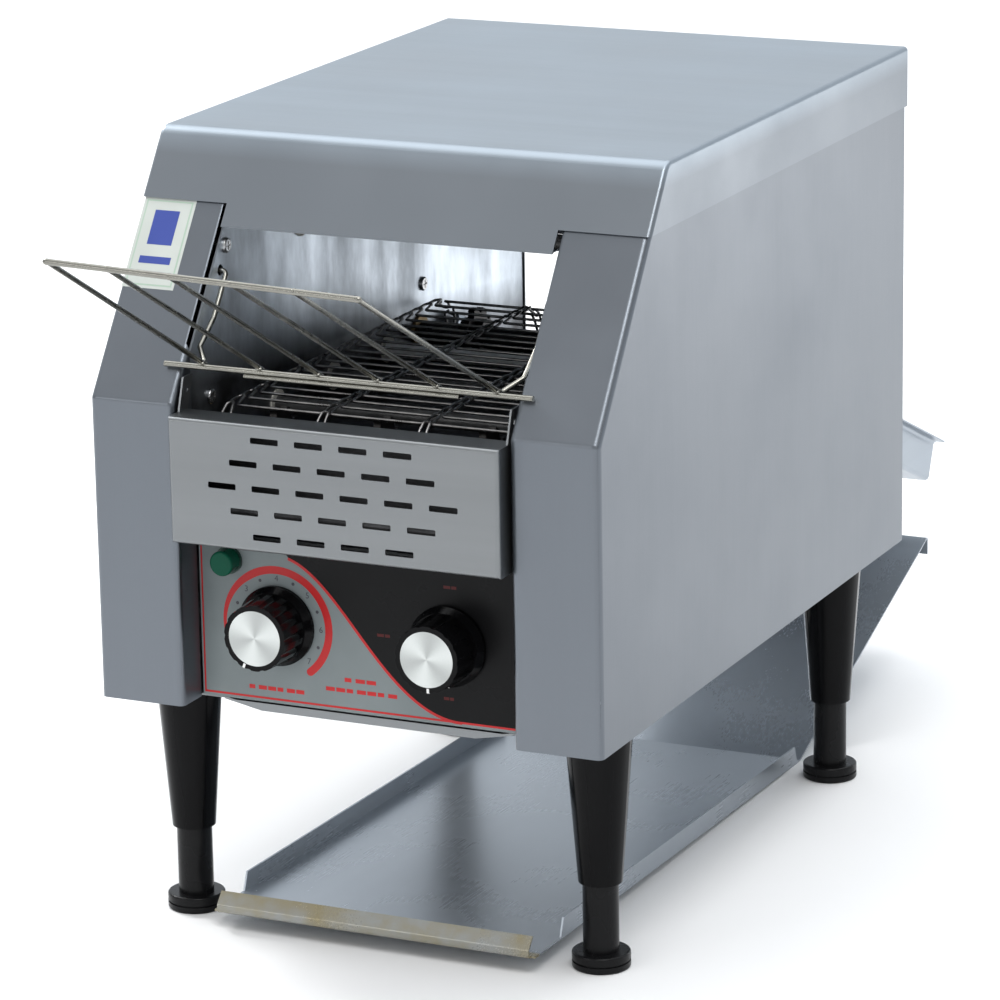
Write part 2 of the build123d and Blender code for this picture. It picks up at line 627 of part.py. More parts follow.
def toast_tray():
    """One sheet: flat tray with lips, then a slide rising behind the machine."""
    t = SHEET
    y0, z0 = TRAY_FRONT
    y2, z2 = TRAY_CREST
    line = [(y0 + 6, z0 + TRAY_LIP), (y0 + t / 2, z0 + 4.5), (y0 + t / 2, tray_z(y0)),
            (TRAY_BEND[0], t / 2), (y2, z2), (y2 + 13, z2 + 5), (y2 + 13, z2 - 6)]
    tray = bent_sheet(line, -TRAY_HALF, TRAY_HALF, bend=1.2)
    outline = [(y0 - 1, 0), (y0 + 2.4, 0), (y0 + 2.4, z0 + 2.2), (y0 + 9, z0 + 2.2), (y0 + 9, 30),
               (y0 - 1, 30)]
    for side in (-1, 1):
        ends = sorted((side * (TRAY_HALF - TRAY_NOTCH), side * (TRAY_HALF + 1)))
        tray -= prism_x(outline, *ends)
        x0 = side * (TRAY_HALF - t / 2) - t / 2
        ya, yb = TRAY_LIP_ENDS
        lip = prism_x([(ya, tray_z(ya)), (yb, tray_z(yb)), (yb - 4, tray_z(yb) + TRAY_LIP),
                       (ya + 4, tray_z(ya) + TRAY_LIP)], x0, x0 + t)
        tray += lip
    return tray


def tray_pads():
    """Rubber pads under the tray that keep its front off the table."""
    out = []
    for x in (-70.0, 70.0):
        y = 80.0
        under = [(y + dy, tray_z(y + dy) - SHEET / 2) for dy in (-10, 10)]
        over = prism_x(under + [(y + 10, 20), (y - 10, 20)], x - 10, x + 10)
        out.append(rod_z(16, 0, TRAY_FRONT[1] + 2, x, y) - over)
    return out


# ------------------------------------------------------------------ legs
def legs():
    """Tapered moulded legs, bored for the levelling feet and the studs."""
    out = []
    for y in LEG_YS:
        for x in (-LEG_X, LEG_X):
            body = Pos(x, y, LEG_BOTTOM) * Cone(11.7, 18.0, BASE_Z - LEG_BOTTOM, align=(
                Align.CENTER, Align.CENTER, Align.MIN))
            body -= rod_z(FOOT_STEM_D + SHAFT_FIT, LEG_BOTTOM - 1, LEG_BOTTOM + 40, x, y)
            body -= rod_z(8, BASE_Z - 14, BASE_Z + 1, x, y)
            out.append(body)
    return out


def leg_studs():
    """Studs and nuts that hold the legs to the folded bottoms of the side panels."""
    out = []
    for y in LEG_YS:
        for x in (-LEG_X, LEG_X):
            stud = rod_z(8, BASE_Z - 14, BASE_Z + 12, x, y)
            nut = Pos(x, y, BASE_Z + SHEET) * extrude(RegularPolygon(7.5, 6), 6.5)
            out.append(stud + nut)
    return out


def levelling_foot(x, y):
    """Screw-in foot: stem, groove and disc."""
    foot = rod_z(FOOT_STEM_D, FOOT_DISC_H, LEG_BOTTOM + 6, x, y)
    disc = rod_z(FOOT_DISC_D, 0, FOOT_DISC_H, x, y)
    disc = fillet(disc.edges(), 1.2)
    groove = rod_z(FOOT_DISC_D + 2, 3.6, 4.6, x, y) - rod_z(FOOT_DISC_D - 1.6, 3, 5, x, y)
    return foot + disc - groove


# ------------------------------------------------------------------ rack
def loading_rack():
    """Wire rack: two bars, four rods, two end rods bent up into the hooks, one short bar."""
    top_y, top_z = RACK_TOP
    bar_y, bar_z = RACK_BAR
    reach = 2.5 * RACK_ROD_PITCH
    slant = atan2(top_z - bar_z, bar_y - top_y)
    # The rack is a little twisted: its outer bar isn't quite parallel to the lower one.
    tops = [(x, top_y, top_z - RACK_TWIST * x / reach) for x in (-reach, reach)]
    # The rods lie on the lower bar and run a little past it.
    lift = (RACK_BAR_D + RACK_ROD_D) / 2 - 0.3
    low = (bar_y + lift * sin(slant) + 5 * cos(slant), bar_z + lift * cos(slant) - 5 * sin(slant))
    pieces = [rod_x(RACK_BAR_D, -104.5, 104.5, bar_y, bar_z),
              rod_between(RACK_BAR_D, *tops),
              rod_x(2.4, -58, 64, bar_y - 0.8, bar_z - 2.5)]
    for i in range(1, 5):
        x = (i - 2.5) * RACK_ROD_PITCH
        pieces += bent_wire(RACK_ROD_D, [(x, top_y, top_z - RACK_TWIST * x / reach), (x, *low)])
    for side, top in zip((-1, 1), tops):
        arm = side * (OPENING_HALF - 2.8)
        pieces += bent_wire(HOOK_D, [top, (side * reach, *low),
                                     (arm, 26, 319), (arm, 42, 331), (arm, *RACK_PIVOT),
                                     (side * (OPENING_HALF + 6), *RACK_PIVOT)])
    return pieces[0].fuse(*pieces[1:])


# ------------------------------------------------------------------ electrics
def fan_frame():
    """Square frame of the cooling fan with four spokes and its motor hub."""
    y0, y1 = DEPTH - SHEET - FAN_DEPTH, DEPTH - SHEET
    half = FAN_SIZE / 2
    frame = box(FAN_X - half, FAN_X + half, y0, y1, FAN_Z - half, FAN_Z + half)
    frame = fillet(frame.edges().filter_by(Axis.Y), 3)
    frame -= rod_y(46, y0 - 1, y1 + 1, FAN_X, FAN_Z)
    spokes = box(FAN_X - 24, FAN_X + 24, y0, y0 + 1.5, FAN_Z - 1.5, FAN_Z + 1.5)
    spokes += box(FAN_X - 1.5, FAN_X + 1.5, y0, y0 + 1.5, FAN_Z - 24, FAN_Z + 24)
    hub = rod_y(20, y0, y0 + 2.5, FAN_X, FAN_Z) + rod_y(4, y0, y0 + 7, FAN_X, FAN_Z)
    return frame + spokes + hub


def fan_rotor():
    """Seven blades on a cup that turns on the fan's pin."""
    y0, y1 = DEPTH - SHEET - FAN_DEPTH + 3.2, DEPTH - SHEET - 1.5
    rotor = rod_y(20, y0, y1, 0, 0)
    blades = 7
    for i in range(blades):
        blade = Pos(0, (y0 + y1) / 2, 16) * Rot(0, 0, 35) * Box(1.2, 12, 12.5)
        rotor += Rot(0, 360 * i / blades, 0) * blade
    rotor -= rod_y(60, y1, y1 + 10, 0, 0)
    rotor -= rod_y(60, y0 - 10, y0, 0, 0)
    rotor -= rod_y(4 + SHAFT_FIT, y0 - 1, y0 + 4.2, 0, 0)
    return Pos(FAN_X, 0, FAN_Z) * rotor


def speed_board():
    """Circuit board of the speed control with its larger components."""
    z = 142.0
    board = box(-86, -26, 70, 150, z, z + 1.6)
    board += box(-80, -60, 78, 100, z + 1.6, z + 16)
    board += rod_z(14, z + 1.6, z + 22, -44, 90)
    board += rod_z(10, z + 1.6, z + 17, -40, 112)
    board += box(-78, -66, 112, 142, z + 1.6, z + 26)
    board += box(-58, -34, 128, 138, z + 1.6, z + 12)
    return board


def board_pillars():
    """Four pillars under the circuit board."""
    return [rod_z(6, PAN_Z + SHEET, 142, x, y) for x in (-56, -31) for y in (76, 144)]


def terminal_block():
    """Mains terminal block on the pan's floor."""
    block = box(10, 52, 392, 412, PAN_Z + SHEET, 146)
    for i in range(3):
        block -= rod_z(6, 138, 147, 17 + 14 * i, 402)
        block -= rod_y(4, 391, 413, 17 + 14 * i, 132)
    return block


def cable_gland():
    """Threaded cable gland in the rear panel."""
    y = DEPTH
    gland = rod_y(24, y, y + 6, GLAND_X, GLAND_Z)
    gland = gland + rod_y(16, y - 12, y, GLAND_X, GLAND_Z)
    dome = Pos(GLAND_X, y + 6, GLAND_Z) * Rot(-90, 0, 0) * Cone(11, 7, 12, align=(
        Align.CENTER, Align.CENTER, Align.MIN))
    gland = gland + dome
    nut = Pos(GLAND_X, y - 1, GLAND_Z) * Rot(90, 0, 0) * extrude(RegularPolygon(13, 6), 5)
    return gland + nut - rod_y(8, y - 13, y + 20, GLAND_X, GLAND_Z)


def thermal_cutout():
    """Snap-action cut-out on the outside of the right inner wall."""
    x = WALL_X + SHEET
    body = rod_x(24, x, x + 2, 220, 330) + rod_x(16, x + 2, x + 14, 220, 330)
    return body + [box(x + 14, x + 22, 220 + s * 4 - 0.5, 220 + s * 4 + 0.5, 327, 333)
                   for s in (-1, 1)]


# ------------------------------------------------------------------ write the parts
right_panel = side_panel()
bezel, lens = pilot_lamp()
place("right_side_panel", right_panel)
place("left_side_panel", mirrored(right_panel))
place("right_inner_wall", inner_wall(1))
place("left_inner_wall", inner_wall(-1))
place("top_cover", top_cover())
place("base_pan", base_pan())
place("rear_panel", rear_panel())
place("front_cover", front_cover())
place("control_panel", control_panel())
place("control_label", control_label())
place("speed_knob", knob(-KNOB_X))
place("speed_knob_cap", knob_cap(-KNOB_X))
place("speed_spindle", spindle(-KNOB_X))
place("speed_control_body", control_body(-KNOB_X, 28, 14))
place("selector_knob", knob(KNOB_X))
place("selector_knob_cap", knob_cap(KNOB_X))
place("selector_spindle", spindle(KNOB_X))
place("selector_switch_body", control_body(KNOB_X, 36, 30))
place("pilot_lamp_body", bezel)
place("pilot_lamp_lens", lens)
place("loading_rack", loading_rack())
place("conveyor_belt", conveyor_belt())
place("front_shaft", rod_x(SHAFT_D, -106, 106, FRONT_SHAFT_Y, BELT_Z))
place("front_sprockets", *belt_sprockets(FRONT_SHAFT_Y))
place("drive_shaft", rod_x(SHAFT_D, -106, 117, REAR_SHAFT_Y, BELT_Z))
place("rear_sprockets", *belt_sprockets(REAR_SHAFT_Y))
place("shaft_bearings", *bearings())
place("driven_sprocket", chain_wheel(DRIVEN_RADIUS, DRIVEN_TEETH, SHAFT_D, REAR_SHAFT_Y, BELT_Z))
place("motor_sprocket", chain_wheel(MOTOR_SPROCKET_RADIUS, MOTOR_TEETH, 10, MOTOR_Y, MOTOR_Z))
place("motor_shaft", rod_x(10, 67, 117, MOTOR_Y, MOTOR_Z))
place("drive_chain", two_wheel_band(DRIVEN_RADIUS, MOTOR_SPROCKET_RADIUS, 6))
place("gear_motor", gear_motor())
place("motor_bracket", motor_bracket())
place("upper_heaters", *heater_tubes(UPPER_TUBES_Y, UPPER_TUBES_Z))
place("lower_heaters", *heater_tubes(LOWER_TUBES_Y, BELT_Z))
place("heater_holders", *tube_holders())
place("upper_reflector", upper_reflector())
place("lower_reflector", lower_reflector())
place("chamber_floor", chamber_floor())
place("exit_chute", exit_chute())
place("chute_brackets", *chute_brackets())
place("toast_tray", toast_tray())
place("tray_pads", *tray_pads())
place("legs", *legs())
place("leg_studs", *leg_studs())
for y, end in zip(LEG_YS, ("front", "rear")):
    for x, hand in ((-LEG_X, "left"), (LEG_X, "right")):
        place(f"levelling_foot_{end}_{hand}", levelling_foot(x, y))
place("cooling_fan_frame", fan_frame())
place("cooling_fan_rotor", fan_rotor())
place("speed_board", speed_board())
place("board_pillars", *board_pillars())
place("terminal_block", terminal_block())
place("cable_gland", cable_gland())
place("thermal_cutout", thermal_cutout())
place("cover_screws", *[pan_head(4, "+y", x, DEPTH + SHEET, COVER_SCREWS_Z)
                        for x in COVER_SCREWS_X])
place("rear_screws", *[pan_head(4, "+y", x, DEPTH, z) for x, z in REAR_SCREWS])
place("wall_screws", *[pan_head(4, f"{s}x", WALL_X * (-1 if s == "+" else 1), y, z)
                       for s in "+-" for y, z in WALL_SCREWS])
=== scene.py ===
"""Look of the conveyor toaster: camera, studio, materials and the fine pieces round the frame."""
import math

import bmesh
import bpy
from mathutils import Matrix, Vector


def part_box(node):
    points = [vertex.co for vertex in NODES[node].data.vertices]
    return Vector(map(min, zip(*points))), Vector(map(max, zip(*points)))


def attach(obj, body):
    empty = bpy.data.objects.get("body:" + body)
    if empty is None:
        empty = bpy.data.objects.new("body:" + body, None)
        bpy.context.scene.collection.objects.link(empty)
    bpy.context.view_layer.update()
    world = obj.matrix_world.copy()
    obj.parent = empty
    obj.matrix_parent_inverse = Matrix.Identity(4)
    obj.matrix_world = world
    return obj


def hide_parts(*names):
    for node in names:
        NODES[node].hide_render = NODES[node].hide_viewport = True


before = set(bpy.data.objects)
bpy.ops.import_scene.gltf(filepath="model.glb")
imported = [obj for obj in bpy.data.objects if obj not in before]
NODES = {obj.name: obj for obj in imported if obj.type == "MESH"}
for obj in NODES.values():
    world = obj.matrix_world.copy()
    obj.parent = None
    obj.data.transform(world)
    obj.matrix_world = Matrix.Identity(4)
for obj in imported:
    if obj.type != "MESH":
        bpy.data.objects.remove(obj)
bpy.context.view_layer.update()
MM = 0.001


# ------------------------------------------------------------------ places taken from the frame
def span(node):
    """Lowest and highest corner of a CAD node as vectors."""
    low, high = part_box(node)
    return Vector(low), Vector(high)


def middle(node):
    """Centre of a CAD node's box."""
    low, high = span(node)
    return (low + high) / 2


LABEL_LOW, LABEL_HIGH = span("control_label")
LABEL_FACE_Y = LABEL_LOW.y
FRONT_Y = span("right_side_panel")[0].y         # front face of the columns
TRAY_FRONT_Y = span("toast_tray")[0].y
SPEED = middle("speed_knob")
SELECTOR = middle("selector_knob")


# ------------------------------------------------------------------ small mesh tools
def link(obj):
    """Put an object in the scene."""
    bpy.context.scene.collection.objects.link(obj)
    return obj


def mesh_object(name, verts, faces, mat):
    """An object from plain vertices and faces."""
    mesh = bpy.data.meshes.new(name)
    mesh.from_pydata([tuple(v) for v in verts], [], faces)
    mesh.update()
    mesh.materials.append(mat)
    return link(bpy.data.objects.new(name, mesh))


def bmesh_object(name, bm, mat):
    """An object from a bmesh, which is freed."""
    mesh = bpy.data.meshes.new(name)
    bm.to_mesh(mesh)
    bm.free()
    mesh.materials.append(mat)
    return link(bpy.data.objects.new(name, mesh))


def mesh_of(curve, mat):
    """The mesh that a curve or text makes, in one material."""
    temp = link(bpy.data.objects.new(curve.name, curve))
    bpy.context.view_layer.update()
    depsgraph = bpy.context.evaluated_depsgraph_get()
    mesh = bpy.data.meshes.new_from_object(temp.evaluated_get(depsgraph))
    bpy.data.objects.remove(temp)
    mesh.materials.clear()
    mesh.materials.append(mat)
    return mesh


def shade_smooth(mesh):
    """Smooth shading on every face."""
    for poly in mesh.polygons:
        poly.use_smooth = True


def wire_object(name, paths, radius, mat, sides=12):
    """Round wires along lists of points, made into one mesh."""
    curve = bpy.data.curves.new(name, "CURVE")
    curve.dimensions = "3D"
    curve.bevel_depth = radius
    curve.bevel_resolution = (sides - 4) // 2
    curve.use_fill_caps = True
    for points in paths:
        spline = curve.splines.new("POLY")
        spline.points.add(len(points) - 1)
        for p, v in zip(spline.points, points):
            p.co = (*v, 1.0)
    mesh = mesh_of(curve, mat)
    shade_smooth(mesh)
    return link(bpy.data.objects.new(name, mesh))


def rounded(points, radius, steps=6):
    """A polyline with each inner corner turned into an arc of about that radius."""
    points = [Vector(p) for p in points]
    most = 0.48                                 # share of a straight that one corner may take
    out = [points[0]]
    for a, b, c in zip(points, points[1:], points[2:]):
        u, w = (a - b).normalized(), (c - b).normalized()
        cut = radius / math.tan(u.angle(w) / 2)
        cut = min(cut, most * (a - b).length, most * (c - b).length)
        start, end = b + u * cut, b + w * cut
        for i in range(steps + 1):
            t = i / steps
            out.append(start * (1 - t) ** 2 + b * 2 * t * (1 - t) + end * t ** 2)
    out.append(points[-1])
    return out


def join(name, objects):
    """Several objects of one finish made into one."""
    for o in bpy.context.selected_objects:
        o.select_set(False)
    for o in objects:
        o.select_set(True)
    bpy.context.view_layer.objects.active = objects[0]
    bpy.ops.object.join()
    objects[0].name = name
    objects[0].data.name = name
    return objects[0]


# ------------------------------------------------------------------ shader tools
MIX_SHARE, MIX_FIRST, MIX_SECOND, MIX_RESULT = 0, 6, 7, 2       # colour sockets of a Mix node


def opaque(color):
    """A colour with its alpha."""
    return (*color, 1.0)


def shade(color, factor):
    """A colour made darker or lighter."""
    return tuple(c * factor for c in color)


def add_node(tree, kind, inputs=None, **settings):
    """A new node with its settings, and with inputs given as values or as sockets to link."""
    node = tree.nodes.new(kind)
    for key, value in settings.items():
        setattr(node, key, value)
    for key, value in (inputs or {}).items():
        if isinstance(value, bpy.types.NodeSocket):
            tree.links.new(value, node.inputs[key])
        else:
            node.inputs[key].default_value = value
    return node


def color_between(tree, share, first, second):
    """A colour that runs from the first to the second as the share goes from 0 to 1."""
    inputs = {MIX_SHARE: share, MIX_FIRST: first, MIX_SECOND: second}
    return add_node(tree, "ShaderNodeMix", inputs, data_type="RGBA").outputs[MIX_RESULT]


class Finish:
    """A Principled material and short ways to wire procedural detail into it, by sockets."""

    def __init__(self, mat):
        """Take up a material, to add detail to it."""
        self.mat, self.tree = mat, mat.node_tree
        self.bsdf = self.tree.nodes["Principled BSDF"]
        self.place = add_node(self.tree, "ShaderNodeTexCoord").outputs["Object"]

    @classmethod
    def new(cls, name, color, roughness, metallic=0.0, shine=0.5):
        """Start a material from plain values."""
        mat = bpy.data.materials.new(name)
        mat.use_nodes = True
        finish = cls(mat)
        for key, value in (("Base Color", opaque(color)), ("Metallic", metallic),
                           ("Roughness", roughness), ("Specular IOR Level", shine)):
            finish.bsdf.inputs[key].default_value = value
        return finish

    def noise(self, scale, stretch=(1, 1, 1), detail=4.0, rough=0.55):
        """Noise in the part's own space, stretched along each axis."""
        mapping = add_node(self.tree, "ShaderNodeMapping", {"Vector": self.place, "Scale": stretch})
        inputs = {"Vector": mapping.outputs["Vector"], "Scale": scale, "Detail": detail,
                  "Roughness": rough}
        return add_node(self.tree, "ShaderNodeTexNoise", inputs).outputs["Fac"]

    def ramp(self, value, low, high, to_low, to_high):
        """Map a range of a value to another range."""
        inputs = {"Value": value, "From Min": low, "From Max": high, "To Min": to_low,
                  "To Max": to_high}
        return add_node(self.tree, "ShaderNodeMapRange", inputs).outputs["Result"]

    def spread(self, noise, to_low, to_high, low=0.3, high=0.7):
        """Map the range that noise usually keeps to, to another range."""
        return self.ramp(noise, low, high, to_low, to_high)

    def calc(self, operation, *terms):
        """Arithmetic on sockets and numbers."""
        inputs = dict(enumerate(terms))
        return add_node(self.tree, "ShaderNodeMath", inputs, operation=operation).outputs["Value"]

    def vector_calc(self, operation, *terms):
        """Vector arithmetic that gives a number."""
        inputs = dict(enumerate(terms))
        node = add_node(self.tree, "ShaderNodeVectorMath", inputs, operation=operation)
        return node.outputs["Value"]

    def paint(self, color):
        """Base colour from a socket."""
        self.tree.links.new(color, self.bsdf.inputs["Base Color"])

    def tint(self, share, color, dark, light):
        """Base colour that runs between a darker and a lighter shade of one colour."""
        low, high = opaque(shade(color, dark)), opaque(shade(color, light))
        self.paint(color_between(self.tree, share, low, high))

    def roughen(self, value):
        """Roughness from a socket."""
        self.tree.links.new(value, self.bsdf.inputs["Roughness"])

    def bump(self, height, strength, distance=0.0002):
        """Relief from a height."""
        inputs = {"Height": height, "Strength": strength, "Distance": distance}
        normal = add_node(self.tree, "ShaderNodeBump", inputs).outputs["Normal"]
        self.tree.links.new(normal, self.bsdf.inputs["Normal"])

    def drift(self, cloud, color, tones, roughness, swing):
        """Colour and roughness that both drift with one noise, each between two factors."""
        self.roughen(self.spread(cloud, roughness * swing[0], roughness * swing[1]))
        self.tint(self.spread(cloud, 0.0, 1.0), color, *tones)


# ------------------------------------------------------------------ materials
def sheet_steel(name, color, grain, roughness, marks=0.06, speckle=0.0, streaks=0.5, relief=0.06,
                metallic=1.0):
    """Brushed sheet: fine grain and wider streaks along one axis, soft smudges, colour drift."""
    def stretched(share):
        return tuple(share if axis == grain else 1 for axis in "xyz")

    f = Finish.new(name, color, roughness, metallic)
    fine = f.noise(1100.0, stretched(0.03), detail=3.0)
    streak = f.noise(70.0, stretched(0.018))
    cloud = f.noise(9.0, detail=5.0)
    dots = f.noise(2600.0, detail=1.0)
    tone = f.calc("ADD", f.spread(cloud, 0.0, 0.5), f.spread(streak, 0.0, streaks))
    f.tint(f.calc("MULTIPLY_ADD", dots, speckle, tone), color, 0.93, 1.07)
    smudge = f.spread(cloud, roughness - marks, roughness + marks)
    f.roughen(f.calc("MULTIPLY_ADD", fine, marks, smudge))
    if relief:
        f.bump(fine, relief)
    return f.mat


def galvanised(name, color, roughness):
    """Zinc-coated sheet darkened by heat: broad upright smears and small dark specks."""
    f = Finish.new(name, color, roughness, metallic=1.0)
    smear = f.noise(26.0, (1, 1, 0.35), detail=6.0, rough=0.62)
    small = f.noise(120.0, (1, 1, 0.6), detail=5.0, rough=0.65)
    broad = f.spread(smear, -0.15, 0.85, low=0.32, high=0.68)
    f.tint(f.calc("MULTIPLY_ADD", small, 0.35, broad), color, 0.62, 1.1)
    f.roughen(f.spread(smear, roughness + 0.1, roughness - 0.08))
    f.bump(small, 0.12, 0.0004)
    return f.mat


def cast_plastic(name, color, roughness, shine=0.5):
    """Moulded plastic with a fine skin and slight unevenness."""
    f = Finish.new(name, color, roughness, shine=shine)
    f.drift(f.noise(25.0, detail=3.0), color, (0.88, 1.15), roughness, (0.8, 1.25))
    f.bump(f.noise(1400.0, detail=2.0), 0.06)
    return f.mat


def plain_metal(name, color, roughness, scale=60.0, drift=0.15):
    """Metal with uneven tone, for wire, shafts, screws and small parts."""
    f = Finish.new(name, color, roughness, metallic=1.0)
    f.drift(f.noise(scale, detail=5.0), color, (1 - drift, 1 + drift), roughness, (0.8, 1.3))
    f.bump(f.noise(700.0), 0.04)
    return f.mat


def printed(name, color, roughness=0.3, shine=0.4):
    """Printed film: even colour under a thin gloss with a faint unevenness."""
    f = Finish.new(name, color, roughness, shine=shine)
    f.drift(f.noise(40.0, detail=3.0), color, (0.96, 1.04), roughness, (0.85, 1.15))
    f.bump(f.noise(500.0), 0.03)
    return f.mat


def spun_metal(name, color, centre):
    """Turned disc: fine rings, and a painted reflection of light and dark rays round its centre."""
    sheen_rays, first_sheen_ray, ring_rate = 3.0, 0.6, 12000.0
    f = Finish.new(name, color, roughness=0.22, metallic=1.0)
    mapping = add_node(f.tree, "ShaderNodeMapping",
                       {"Vector": f.place, "Location": tuple(-c for c in centre)})
    from_centre = mapping.outputs["Vector"]
    split = add_node(f.tree, "ShaderNodeSeparateXYZ", {"Vector": from_centre})
    # Painted reflection: the colour swings light and dark in sectors round the centre, the sheen
    # that spun metal shows.
    angle = f.calc("ARCTAN2", split.outputs["Z"], split.outputs["X"])
    sheen_wave = f.calc("SINE", f.calc("MULTIPLY_ADD", angle, sheen_rays, first_sheen_ray))
    f.tint(f.ramp(sheen_wave, -1.0, 1.0, 0.0, 1.0), color, 0.72, 1.08)
    radius = f.vector_calc("LENGTH", from_centre)
    f.bump(f.calc("SINE", f.calc("MULTIPLY", radius, ring_rate)), 0.03, 0.0001)
    return f.mat


def stain_and_shade(mat, along, full, none, color, patchy):
    """Darken or tint a sheet along a direction, from full strength at one place to none further on:
    real stains, and in places painted shade.
    """
    f = Finish(mat)
    near = f.ramp(f.vector_calc("DOT_PRODUCT", f.place, along), full, none, 1.0, 0.0)
    blotch = f.spread(f.noise(38.0, detail=5.0), 1.0 - patchy, 1.0, low=0.38, high=0.62)
    clean = f.bsdf.inputs["Base Color"].links[0].from_socket
    f.paint(color_between(f.tree, f.calc("MULTIPLY", near, blotch), clean, opaque(color)))


MATERIALS = {
    "cover": sheet_steel("cover_steel", (0.262, 0.300, 0.338), "x", 0.34, speckle=0.1),
    # Painted shade: the side panels use a darker copy of the cover's steel, for the dimmer light
    # they reflect.
    "side": sheet_steel("shaded_side_steel", (0.157, 0.172, 0.192), "z", 0.33, speckle=0.5, streaks=0.15),
    "front": sheet_steel("front_steel", (0.212, 0.222, 0.229), "x", 0.34, speckle=0.15),
    "slide": sheet_steel("slide_steel", (0.29, 0.325, 0.365), "y", 0.33, speckle=0.2),
    "tray": sheet_steel("tray_steel", (0.315, 0.35, 0.39), "y", 0.27, marks=0.01, speckle=0.1,
                        streaks=0.2, relief=0.0, metallic=0.6),
    "galvanised": galvanised("galvanised_sheet", (0.72, 0.78, 0.845), 0.43),
    "sooty": galvanised("heat_stained_sheet", (0.10, 0.10, 0.104), 0.5),
    "zinc": galvanised("zinc_sheet", (0.66, 0.71, 0.76), 0.4),
    "black_gloss": cast_plastic("black_gloss", (0.003, 0.003, 0.0034), 0.12, shine=0.1),
    "black_satin": cast_plastic("black_satin", (0.005, 0.005, 0.0055), 0.26, shine=0.16),
    "white_nylon": cast_plastic("white_nylon", (0.7, 0.7, 0.67), 0.45),
    "rubber": cast_plastic("rubber", (0.015, 0.015, 0.015), 0.75),
    "board": cast_plastic("circuit_board", (0.03, 0.17, 0.07), 0.4),
    "motor": cast_plastic("motor_paint", (0.03, 0.03, 0.033), 0.38),
    "lens": cast_plastic("green_lens", (0.0012, 0.068, 0.038), 0.16, shine=0.12),
    "lens_ring": cast_plastic("lens_ring", (0.003, 0.03, 0.02), 0.3),
    "quartz": cast_plastic("heater_quartz", (0.86, 0.87, 0.88), 0.3),
    "ceramic": cast_plastic("ceramic", (0.72, 0.70, 0.64), 0.6),
    "bronze": plain_metal("sintered_bronze", (0.30, 0.22, 0.12), 0.5),
    "turned": plain_metal("turned_steel", (0.42, 0.42, 0.42), 0.33),
    "blackened": plain_metal("blackened_steel", (0.045, 0.043, 0.042), 0.45, drift=0.3),
    "screw": plain_metal("plated_screw", (0.5, 0.5, 0.5), 0.25),
    "rack": plain_metal("plated_wire", (0.24, 0.235, 0.21), 0.24, scale=90.0, drift=0.12),
    "belt": plain_metal("belt_wire", (0.23, 0.225, 0.22), 0.32, scale=120.0, drift=0.4),
    "label_silver": printed("label_silver", (0.195, 0.222, 0.227), 0.4, shine=0.15),
    "label_black": printed("label_black", (0.005, 0.005, 0.0055), 0.3, shine=0.12),
    "label_red": printed("label_red", (0.46, 0.016, 0.018), 0.34, shine=0.25),
    "label_dark_red": printed("label_dark_red", (0.07, 0.006, 0.006), shine=0.2),
    "label_grey": printed("label_grey", (0.06, 0.06, 0.07), shine=0.25),
    "white_mark": printed("white_mark", (0.75, 0.75, 0.74)),
    "sticker_paper": printed("sticker_paper", (0.47, 0.50, 0.47), 0.5),
    "sticker_blue": printed("sticker_blue", (0.03, 0.055, 0.27), 0.5),
    "sticker_green": printed("sticker_green", (0.34, 0.45, 0.36), 0.5),
}
# Tarnish on the tray's front lip.
stain_and_shade(MATERIALS["tray"], along=(0, 1, 0), full=TRAY_FRONT_Y + 7.0 * MM,
      none=TRAY_FRONT_Y + 8.5 * MM, color=(0.27, 0.235, 0.145), patchy=0.6)
# Soot low on the inner walls, a little lower towards the rear.
stain_and_shade(MATERIALS["galvanised"], along=(0, 0.12, 1), full=0.270, none=0.292,
      color=(0.05, 0.05, 0.053), patchy=0.25)
# Painted shade: the front heater tubes are coloured dark where they lie in shade.
stain_and_shade(MATERIALS["quartz"], along=(0, 1, 0), full=-0.045, none=-0.035,
      color=(0.02, 0.02, 0.02), patchy=0.1)
# Painted shade: the cover is coloured slightly darker below its flat top, on its front slope.
stain_and_shade(MATERIALS["cover"], along=(0, 0, 1), full=0.408, none=0.419,
      color=(0.192, 0.211, 0.233), patchy=0.0)

FINISHES = {
    "cover": ("top_cover",),
    "side": ("left_side_panel", "right_side_panel"),
    "front": ("front_cover", "control_panel", "base_pan", "rear_panel"),
    "slide": ("exit_chute", "chute_brackets"),
    "tray": ("toast_tray",),
    "galvanised": ("left_inner_wall", "right_inner_wall", "upper_reflector"),
    "zinc": ("motor_bracket",),
    "sooty": ("lower_reflector", "chamber_floor"),
    "black_gloss": ("speed_knob", "selector_knob", "legs"),
    "black_satin": ("levelling_foot_front_left", "levelling_foot_front_right",
                    "levelling_foot_rear_left", "levelling_foot_rear_right",
                    "cooling_fan_frame", "cooling_fan_rotor", "cable_gland",
                    "selector_switch_body", "speed_control_body"),
    "lens": ("pilot_lamp_lens",),
    "lens_ring": ("pilot_lamp_body",),
    "white_nylon": ("terminal_block", "board_pillars", "thermal_cutout"),
    "rubber": ("tray_pads",),
    "board": ("speed_board",),
    "motor": ("gear_motor",),
    "quartz": ("upper_heaters", "lower_heaters"),
    "ceramic": ("heater_holders",),
    "bronze": ("shaft_bearings",),
    "screw": ("cover_screws", "rear_screws", "wall_screws", "leg_studs"),
    "turned": ("motor_shaft", "speed_spindle", "selector_spindle", "driven_sprocket",
               "motor_sprocket"),
    "blackened": ("front_shaft", "drive_shaft", "front_sprockets", "rear_sprockets", "drive_chain"),
    "belt": ("conveyor_belt",),
    "rack": ("loading_rack",),
    "label_silver": ("control_label",),
}


